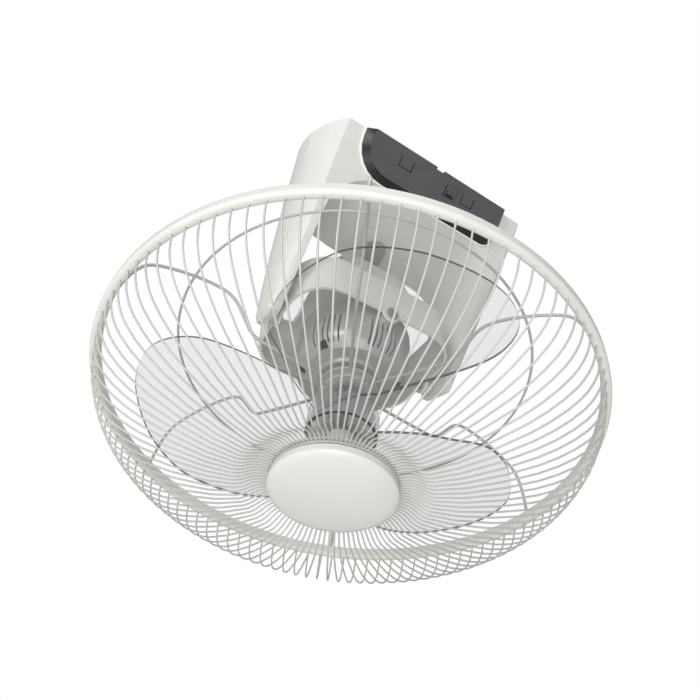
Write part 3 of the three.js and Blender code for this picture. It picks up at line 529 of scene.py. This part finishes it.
# %% [markdown]
# ## Turned pieces and rounded blocks
# A housing or a hub is round about one axis, so its section is drawn once, as a closed outline, and
# the spin operator carries it round. Slits, ports and small plates start as boxes with rounded edges.

# %% Helpers for turned pieces and blocks


def turned_piece(profile, steps):
    """A ring spun from a closed outline of [radius, height] pairs in millimetres."""
    mesh = bpy.data.meshes.new("turned")
    corners = [(r / 1000, 0, z / 1000) for r, z in profile]
    mesh.from_pydata(corners, [(k, (k + 1) % len(corners)) for k in range(len(corners))], [])
    piece = bpy.data.objects.new("turned", mesh)
    bpy.context.scene.collection.objects.link(piece)
    edit_all(piece)
    bpy.ops.mesh.spin(steps=steps, angle=2 * math.pi, center=(0, 0, 0), axis=(0, 0, 1))
    bpy.ops.mesh.select_all(action="SELECT")
    bpy.ops.mesh.remove_doubles(threshold=same_point)
    bpy.ops.object.mode_set(mode="OBJECT")
    return piece


def rounded_block(middle, size, edge, segments=3):
    bpy.ops.object.select_all(action="DESELECT")
    bpy.ops.mesh.primitive_cube_add(size=1.0, location=tuple(middle), scale=tuple(size))
    block = bpy.context.object
    bpy.ops.object.transform_apply(location=True, rotation=True, scale=True)
    if edge:
        apply_modifier(block, "BEVEL", width=edge, segments=segments)
    return block


def cut_away(piece, cutter, angle=40.0):
    apply_modifier(piece, "BOOLEAN", operation="DIFFERENCE", object=cutter, solver="EXACT")
    bpy.data.objects.remove(cutter, do_unlink=True)
    only(piece)
    bpy.ops.object.shade_smooth_by_angle(angle=math.radians(angle))


# %% [markdown]
# ## Front guard
# One hundred and six thin wires leave the hoop, bend in over the rim's corner, run in low under the
# blades and rise on to a ring behind the cap. One wire is bent and the spin operator repeats it.

# %% Front guard
wire_count, wire_start = 106, math.radians(191.76)
front_wire, ring_wire = 0.00175, 0.0026
front_bends = [(235.4, -4.9), (229, -26), (214, -46), (172, -69.5), (85.9, -86.5), (68.9, -79.5),
               (55.5, -79.5)]
guard = bent_wire(through(front_bends, 3), front_wire, sides=6)
repeat_round(guard, wire_count, wire_start)
add_ring(guard, radius=55.5, height=-79.5, thick=ring_wire)
finish_piece(guard, "front_wires", wire_coat_painted_shade, "fan_head", ["front_guard"], cage_place, angle=80)

# %% [markdown]
# ## Rear guard
# Six heavier wires hold the hoop: each starts at a ring on the hoop's ledge and climbs over the
# blades, where a second ring ties them together, and dips again to a washer that the nut clamps on
# the motor's collar. The washer is a circle whose edge is extruded inwards and given a thickness.

# %% Rear guard
rear_wire = 0.0032
rear_bends = [(233.0, 5.8), (229.5, 30), (224, 46), (217, 54.5), (206, 61), (180, 70.5), (150, 75),
              (137, 71), (128, 62), (117, 47), (108, 38), (101, 36), (26, 36)]
rear = bent_wire(through(rear_bends, 2), rear_wire, sides=10)
repeat_round(rear, 6)
add_ring(rear, radius=179, height=71, thick=ring_wire)
add_ring(rear, radius=233.4, height=5.3, thick=ring_wire)
washer_bore = 16.5 / 30
bpy.ops.object.select_all(action="DESELECT")
bpy.ops.mesh.primitive_circle_add(vertices=48, radius=0.030, location=(0, 0, 0.0344), fill_type="NOTHING")
washer = bpy.context.object
bpy.ops.object.mode_set(mode="EDIT")
bpy.ops.mesh.extrude_edges_move(TRANSFORM_OT_translate={"value": (0, 0, 0.0)})
bpy.ops.transform.resize(value=(washer_bore, washer_bore, 1))
bpy.ops.object.mode_set(mode="OBJECT")
apply_modifier(washer, "SOLIDIFY", thickness=rear_wire, offset=1.0)
join_pieces(rear, washer)
finish_piece(rear, "rear_wires", spoke_coat_painted_shade, "fan_head", ["rear_guard"], cage_place, angle=60)

# %% [markdown]
# ## Hoop
# The hoop is one smooth moulding with full round corners, and it catches one long highlight. Its
# section is a plane whose corners are rounded by a bevel, and spinning that section gives the ring.
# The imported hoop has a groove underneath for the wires' ends. It is left out here, where the wires
# run straight into the section.

# %% Hoop
hoop_middle = (0.2357, 0, 0.0011)
hoop_width, hoop_height, hoop_corner = 0.0086, 0.0130, 0.0034
bpy.ops.object.select_all(action="DESELECT")
bpy.ops.mesh.primitive_plane_add(size=1.0, location=hoop_middle, rotation=(math.pi / 2, 0, 0))
hoop = bpy.context.object
hoop.scale = (hoop_width, hoop_height, 1.0)
bpy.ops.object.transform_apply(location=True, rotation=True, scale=True)
edit_all(hoop)
bpy.ops.mesh.bevel(offset=hoop_corner, offset_type="OFFSET", segments=5, affect="VERTICES")
bpy.ops.mesh.select_all(action="SELECT")
bpy.ops.mesh.delete(type="ONLY_FACE")
bpy.ops.mesh.select_all(action="SELECT")
bpy.ops.mesh.spin(steps=160, angle=2 * math.pi, center=(0, 0, 0), axis=(0, 0, 1))
finish_piece(hoop, "hoop_ring", hoop_plastic, "fan_head", ["rim_hoop"], cage_place, angle=60)

# %% [markdown]
# ## Smooth copies of moulded pieces
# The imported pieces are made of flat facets. Where a surface is round on the real thing, a copy takes
# the piece's place: the loose triangles are merged first, and shading is smooth up to an angle, so
# real corners stay crisp. The cap's copy is also a little smaller and sits a little lower.

# %% Copies that shade smoothly


def smooth_copy(node_name, material, body, angle):
    copy = bpy.data.objects.new("copy", nodes[node_name].data.copy())
    copy.data.materials.clear()
    bpy.context.scene.collection.objects.link(copy)
    edit_all(copy)
    bpy.ops.mesh.remove_doubles(threshold=same_point)
    bpy.ops.mesh.dissolve_limited(angle_limit=math.radians(0.5))
    bpy.ops.object.mode_set(mode="OBJECT")
    return finish_piece(copy, node_name + "_smooth", material, body, [node_name], angle=angle, outward=False)


smooth_copy("base_housing", white_plastic, "base", angle=28)
swing_frame = smooth_copy("swing_frame", frame_plastic_painted_light, "swing_frame_body", angle=40)
cap = smooth_copy("badge_cap", cap_plastic, "fan_head", angle=40)
cap_drop, cap_share = 0.0012, 0.968
cap_fit = Matrix.Translation((0, 0, -cap_drop)) @ Matrix.Diagonal((cap_share, cap_share, 1, 1))
cap.data.transform(cage_place @ cap_fit @ cage_place.inverted())
smooth_copy("motor_rear_cover", motor_enamel, "fan_head", angle=40)
smooth_copy("spinner_nut", soft_plastic, "rotor", angle=40)
# The crank arm's copy gets painted shade instead of its own lighter plastic.
smooth_copy("crank_arm", crank_painted_shade, "crank", angle=40)
smooth_copy("stem_ball", soft_plastic, "fan_head", angle=60)

# %% [markdown]
# ## Windows in the swing frame
# Looking up past the motor one sees white background at both ends of the swing frame, so the frame
# is open above its ends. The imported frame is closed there. A boolean with two rounded boxes cuts
# the windows, and it is done in the frame's own upright place, where lengths run along the axes.

# %% Cut the windows
window_middle = Vector((0.0635, 0.0, 0.080))
window_size = Vector((0.047, 0.092, 0.070))
for side in (-1, 1):
    cutter = rounded_block((side * window_middle.x, 0, window_middle.z), window_size, edge=0.008, segments=4)
    cutter.data.transform(frame_place)
    cut_away(swing_frame, cutter)
print("swing frame faces:", len(swing_frame.data.polygons))

# %% [markdown]
# ## Motor housing
# The front half of the housing is pressed sheet metal: a straight side rolls over a wide shoulder
# into a stepped face. Long air slits run down the side and over the shoulder in six groups, and four
# square ports open the face, through which the winding shows dark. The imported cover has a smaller
# shoulder and shorter slits, so this piece takes its place. One slit is repeated into a group, the
# group is repeated round the motor, and one boolean cuts them all. The ports aren't evenly spaced,
# so they are cut one by one. Two round bosses for the head pins are joined to the sides.

# %% Motor cover with slits and ports
cover_outline = [(58, 101), (58, 66), (57.2, 60), (55, 55), (51.5, 51.3), (47, 49.2), (45.6, 47.2),
                 (34, 45.5), (32, 42.5), (16, 41.5), (16, 31), (11.3, 31), (11.3, 39.5), (7, 39.5),
                 (7, 47.5), (32, 48), (44, 51.5), (50, 54.5), (53.6, 60), (55.5, 67), (55.5, 101)]
cover = turned_piece(cover_outline, steps=96)
slit_count, slit_step, slit_groups, first_group = 6, 5.6, 6, -122
slits = rounded_block((0.0545, 0, 0.068), (0.017, 0.0017, 0.034), edge=0.0008)
edit_all(slits)
bpy.ops.mesh.spin(steps=slit_count - 1, dupli=True, angle=math.radians(slit_step * (slit_count - 1)),
                  center=(0, 0, 0), axis=(0, 0, 1))
bpy.ops.object.mode_set(mode="OBJECT")
slits_turn = math.radians(first_group - slit_step * (slit_count - 1) / 2)
slits.data.transform(Matrix.Rotation(slits_turn, 4, "Z"))
repeat_round(slits, slit_groups)
cut_away(cover, slits)
port_degrees = (-30, 30, 155, 205)
for degrees in port_degrees:
    port = rounded_block((0.049, 0, 0.0505), (0.009, 0.0095, 0.012), edge=0.0008)
    port.data.transform(Matrix.Rotation(math.radians(degrees), 4, "Z"))
    cut_away(cover, port)
boss_out, boss_height = 0.05925, 0.089
for side in (-1, 1):
    bpy.ops.object.select_all(action="DESELECT")
    bpy.ops.mesh.primitive_cylinder_add(vertices=40, radius=0.008, depth=0.0055,
                                        rotation=(math.pi / 2, 0, 0),
                                        location=(0, side * boss_out, boss_height))
    boss = bpy.context.object
    apply_modifier(boss, "BEVEL", width=0.001, segments=2, limit_method="ANGLE")
    join_pieces(cover, boss)
finish_piece(cover, "motor_cover", motor_enamel, "fan_head", ["motor_front_cover"], cage_place, angle=40,
             outward=False)

# %% [markdown]
# ## Blades with dark edges
# A blade is one sheet, curved in three ways: it twists from root to tip, it is hollow across, and its
# outline swells and closes in a round tip. A grid is laid over that surface row by row, from leading
# edge to trailing edge, and Solidify gives the sheet its wall. Seen through its rim, clear plastic
# looks dark, so Solidify gives the rim faces the second finish, and each blade is outlined in grey.
# Each row of the table gives a radius in millimetres and the degrees at which the two edges stand.

# %% Blade sheet
blade_rows = [(33, -43.5, 60), (50, -41.5, 59), (77, -38, 58), (100, -34, 58), (130, -31.5, 57),
              (150, -25.5, 55.5), (168, -17.5, 52.5), (184, -9, 48), (193, -3, 43), (198, 5, 37.5),
              (200.5, 14, 31)]
tip_radius = 200.5
sweep_start, sweep = -44, 102
root_twist, tip_twist = 1.12, 0.86
middle_height, rise, hollow = -2, 36, 4


def row_at(share):
    """The radius and the two edges' degrees at a share of the way from root to tip."""
    last = len(blade_rows) - 1
    k = min(int(share * last), last - 1)
    t = share * last - k
    a, b, c, d = [Vector(blade_rows[min(max(k + step, 0), last)]) for step in (-1, 0, 1, 2)]
    return 0.5 * (2 * b + (c - a) * t + (2 * a - 5 * b + 4 * c - d) * t * t + (3 * b - a - 3 * c + d) * t ** 3)


def blade_point(along_radius, across):
    radius, first, last = row_at(along_radius)
    degrees = first + (last - first) * across
    share = (degrees - sweep_start) / sweep
    twist = root_twist + (tip_twist - root_twist) * radius / tip_radius
    camber = -hollow * math.sin(math.pi * min(max(share, 0), 1))
    height = middle_height + rise * (share - 0.5) * twist + camber
    turn = math.radians(degrees)
    return Vector((radius * math.cos(turn), radius * math.sin(turn), height)) / 1000


bpy.ops.object.select_all(action="DESELECT")
bpy.ops.mesh.primitive_grid_add(x_subdivisions=60, y_subdivisions=22, size=1.0, location=(0, 0, 0))
blades = bpy.context.object
for vertex in blades.data.vertices:
    vertex.co = blade_point(vertex.co.x + 0.5, vertex.co.y + 0.5)
blades.data.materials.append(blade_plastic)
blades.data.materials.append(blade_rim_painted_shade)
apply_modifier(blades, "SOLIDIFY", thickness=0.0026, offset=0.0, material_offset_rim=1)
repeat_round(blades, 3)
finish_piece(blades, "blade_sheets", blade_plastic, "rotor", ["fan_blades"], cage_place, angle=40)

# %% [markdown]
# ## Hub
# The hub is a cup of the same clear plastic with stiffening ribs inside, so it reads as a dark, busy
# ring behind the wires. Its wall is a profile spun round the shaft, and one rib is made and repeated.
# The faces that close the wall at its open end get the same painted dark shade as the blades' rims.

# %% Hub wall and ribs
hub_outline = [(4.4, -27), (9, -27), (9, -3), (31, -3), (31, -25), (34, -25), (34, 0), (32, 2), (4.4, 2)]
hub = turned_piece(hub_outline, steps=72)
bpy.ops.object.select_all(action="DESELECT")
bpy.ops.mesh.primitive_cube_add(size=1.0, location=(0.020, 0, -0.0135), scale=(0.0225, 0.0016, 0.0205))
ribs = bpy.context.object
bpy.ops.object.transform_apply(location=True, rotation=True, scale=True)
apply_modifier(ribs, "BEVEL", width=0.0004, segments=2)
repeat_round(ribs, 12)
hub.data.materials.append(hub_plastic)
hub.data.materials.append(blade_rim_painted_shade)
level_face, wall_inside = 0.9, 0.0312
for face in hub.data.polygons:
    if abs(face.normal.z) > level_face and math.hypot(face.center.x, face.center.y) > wall_inside:
        face.material_index = 1
finish_piece(ribs, "hub_ribs", hub_plastic, "rotor", place=cage_place)
finish_piece(hub, "hub_wall", hub_plastic, "rotor", place=cage_place)

# %% [markdown]
# ## Control panel
# The panel's broad face is finely textured; its chamfers get a near-black colour, a painted shade for faces that
# turn away from the light.
# The copy keeps the panel's shape and gives the two kinds of face two finishes. The side of the base
# runs in by 77.6 mm over 187.6 mm of height, and a face that looks out along that slant is broad.

# %% Panel with painted shade on its chamfers
panel = smooth_copy("control_panel", panel_plastic, "base", angle=30)
panel.data.materials.append(chamfer_painted_shade)
face_slant = math.atan2(0.0776, 0.1876)
panel_out = Vector((0, -math.cos(face_slant), -math.sin(face_slant)))
broad_face = 0.97
# Faces that are not broad get the painted shade colour.
for face in panel.data.polygons:
    if face.normal.dot(panel_out) < broad_face:
        face.material_index = 1
print("chamfer faces:", sum(1 for face in panel.data.polygons if face.material_index == 1))

# %% [markdown]
# ## Small things on the panel
# The two buttons are tongues: a groove runs round three sides, and the fourth, at the top, is where they bend, so
# a thin web closes the gap there. The receiver sits behind a flush square window with a small bulge; dark strips
# along the lower and left edges of the window and the bulge are painted shadow. All sizes are given on the panel
# itself: across, up its slant and out of its face.

# %% Webs and receiver window
panel_up = Vector((0, -math.sin(face_slant), math.cos(face_slant)))
panel_place = Matrix((Vector((1, 0, 0)), panel_up, panel_out)).transposed().to_4x4()
panel_level = max(v.co.dot(panel_out) for v in panel.data.vertices)


def panel_block(name, material, middle, size, edge, stands_for=()):
    block = rounded_block(middle, size, edge)
    return finish_piece(block, name, material, "base", stands_for, panel_place)


web_size, web_gap, web_sink = (0.0125, 0.0008, 0.0009), 0.00015, 0.0005
for button_name in ("power_button", "swing_button"):
    button = nodes[button_name].data.vertices
    across = (min(v.co.x for v in button) + max(v.co.x for v in button)) / 2
    high = max(v.co.dot(panel_up) for v in button)
    panel_block(button_name + "_web", panel_plastic, (across, high + web_gap, panel_level - web_sink),
                web_size, edge=0)
window_place = Vector((0.0150, 0.0260, panel_level))
window_steps = [("receiver_window", panel_plastic, (0, 0, -0.0012), (0.0189, 0.0129, 0.0023), 0.0004),
                # Each dark block sits a little lower and further left than the face on it, so its rim shows as
                # painted shadow.
                ("receiver_painted_shadow", dark_plastic_and_painted_shadow, (0.0002, -0.0004, 0.0001), (0.0132, 0.0112, 0.0006), 0.0002),
                ("receiver_face", panel_plastic, (0.0009, 0.0003, 0.0003), (0.0118, 0.0100, 0.0008), 0.0003),
                ("receiver_bulge_painted_shadow", dark_plastic_and_painted_shadow, (0.0006, -0.0022, 0.0006), (0.0086, 0.0048, 0.0008), 0.0003),
                ("receiver_bulge", panel_plastic, (0.0010, -0.0016, 0.0009), (0.0074, 0.0028, 0.0008), 0.0003)]
for name, material, shift, size, edge in window_steps:
    replaced = ["receiver_lens"] if name == "receiver_window" else []
    panel_block(name, material, window_place + Vector(shift), size, edge, replaced)

# %% [markdown]
# ## Lip round the panel
# A narrow white lip of the base frames the panel and catches the light; its colour is also painted lighter than
# the base's white, a painted highlight. It follows the outline of the
# panel's back, so the corners that lie there are picked, put in order round the middle and moved a
# little outwards, and a round bevel along them makes the lip. It runs down one side, along the foot
# and up the other side, and leaves the top free.

# %% White lip
back_level = min(v.co.dot(panel_out) for v in panel.data.vertices)
back_slack, lip_top = 0.0002, 0.0415
outline = [(v.co.x, v.co.dot(panel_up)) for v in panel.data.vertices
           if v.co.dot(panel_out) < back_level + back_slack and v.co.dot(panel_up) < lip_top]
centre = Vector((0.0, 0.030))
outline = [Vector(pair) for pair in set((round(x, 5), round(up, 5)) for x, up in outline)]
side_from, foot_below = 0.05, 0.015
edge_points = [point for point in outline if abs(point.x) > side_from or point.y < foot_below]


def turn_from_top(point):
    return (math.atan2(point.y - centre.y, point.x - centre.x) - math.pi / 2) % (2 * math.pi)


edge_points.sort(key=turn_from_top)
lip_away, lip_lift = 0.0006, 0.0004
lip_path = []
for point in edge_points:
    away = (point - centre).normalized() * lip_away
    lip_path.append(Vector((point.x + away.x, point.y + away.y, back_level + lip_lift)))
lip = bent_wire(lip_path, thick=0.0024, sides=8)
finish_piece(lip, "panel_lip", lip_painted_highlight, "base", place=panel_place, angle=60)

# %% [markdown]
# ## Which piece has which finish
# Every imported piece, also one that a finer piece stands for, gets its finish on its own material slot; some of
# these finishes hold painted shade or painted light.

# %% Give each imported piece its finish
finishes = {
    white_plastic: ["base_housing"],
    frame_plastic_painted_light: ["swing_frame"],
    cap_plastic: ["badge_cap"],
    hoop_plastic: ["rim_hoop"],
    soft_plastic: ["crank_arm", "left_swing_bush", "right_swing_bush", "stem_ball", "guard_nut", "badge_plate",
                   "spinner_nut", "terminal_block"],
    panel_plastic: ["control_panel", "power_button", "swing_button"],
    dark_plastic_and_painted_shadow: ["receiver_lens", "board_relay", "run_capacitor", "crank_socket"],
    wire_coat_painted_shade: ["front_guard"],
    spoke_coat_painted_shade: ["rear_guard"],
    motor_enamel: ["motor_front_cover", "motor_rear_cover", "swing_motor"],
    bright_steel: ["ceiling_plate", "cover_screw_left", "cover_screw_right", "left_leg_pin", "right_leg_pin",
                   "near_head_pin", "far_head_pin", "swing_stem", "badge_screw", "motor_shaft", "front_bearing",
                   "rear_bearing"],
    core_steel: ["stator_core", "rotor_core"],
    winding: ["front_winding", "rear_winding"],
    blade_plastic: ["fan_blades"],
    board_green: ["control_board"],
}
for material, names in finishes.items():
    for name in names:
        for slot in nodes[name].material_slots:
            slot.material = material
missed = sorted(set(nodes) - {name for names in finishes.values() for name in names})
print("finished pieces:", sum(len(names) for names in finishes.values()), "missed:", missed)

# %% [markdown]
# ## Floor
# The floor is matt, nearly white paper with a very faint cloudiness, so it throws soft light back up.

# %% Floor paper
f = Finish("floor_paper")
paper = f.blend(f.noise(scale=3.0, detail=3.0), rgb(244, 244, 243), rgb(240, 240, 239))
tooth = f.bump(f.noise(scale=400.0), strength=0.05, distance=0.0004)
floor.data.materials.append(f.done(f.surface(Base_Color=paper, Roughness=0.9, Normal=tooth)))
print("floor has its paper")

# %% [markdown]
# ## View transform
# The Standard view shows a colour as it is written.

# %% Set the view transform
bpy.context.scene.view_settings.view_transform = "Standard"
